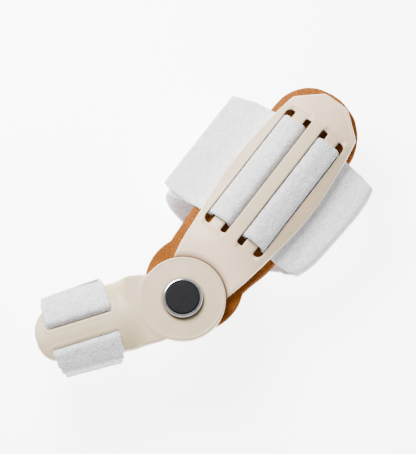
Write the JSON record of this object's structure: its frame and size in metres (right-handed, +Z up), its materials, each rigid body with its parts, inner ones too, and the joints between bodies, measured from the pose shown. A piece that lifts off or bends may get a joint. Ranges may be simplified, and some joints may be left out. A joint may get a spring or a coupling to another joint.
{
  "type": "bunion corrector",
  "caption": "Hinged bunion splint: moulded foot and toe plates joined by a knob hinge, a foam pad, and hook-and-loop straps woven through slots.",
  "frame": {"origin": "on the surface that the corrector lies on, below the middle of its whole box", "axes": "+X from the hinge along the foot plate to its far end, +Y to the foot plate's left seen from above, +Z up out of the plates along the hinge axis"},
  "size_m": [0.1704, 0.086, 0.0451],
  "materials": {
    "moulded_plastic": "smooth satin moulded cream plastic",
    "foam": "finely grained tan foam",
    "strap": "brushed white loop fabric",
    "bezel": "bright plated",
    "cap": "dark, lightly textured",
    "pin": "plain"
  },
  "bodies": {
    "foot_splint": {"foot_plate": "moulded_plastic", "foot_pad": "foam", "foot_strap": "strap", "pivot_pin": "pin", "knob_bezel": "bezel", "knob_cap": "cap"},
    "toe_splint": {"toe_plate": "moulded_plastic", "toe_strap": "strap"}
  },
  "joints": [
    {"name": "toe_hinge", "type": "hinge", "parent": "foot_splint", "child": "toe_splint", "pos_m": [-0.02877, -0.00696, 0.041], "axis": [0, 0, 1], "range_deg": [-24.5, 95.5]}
  ]
}
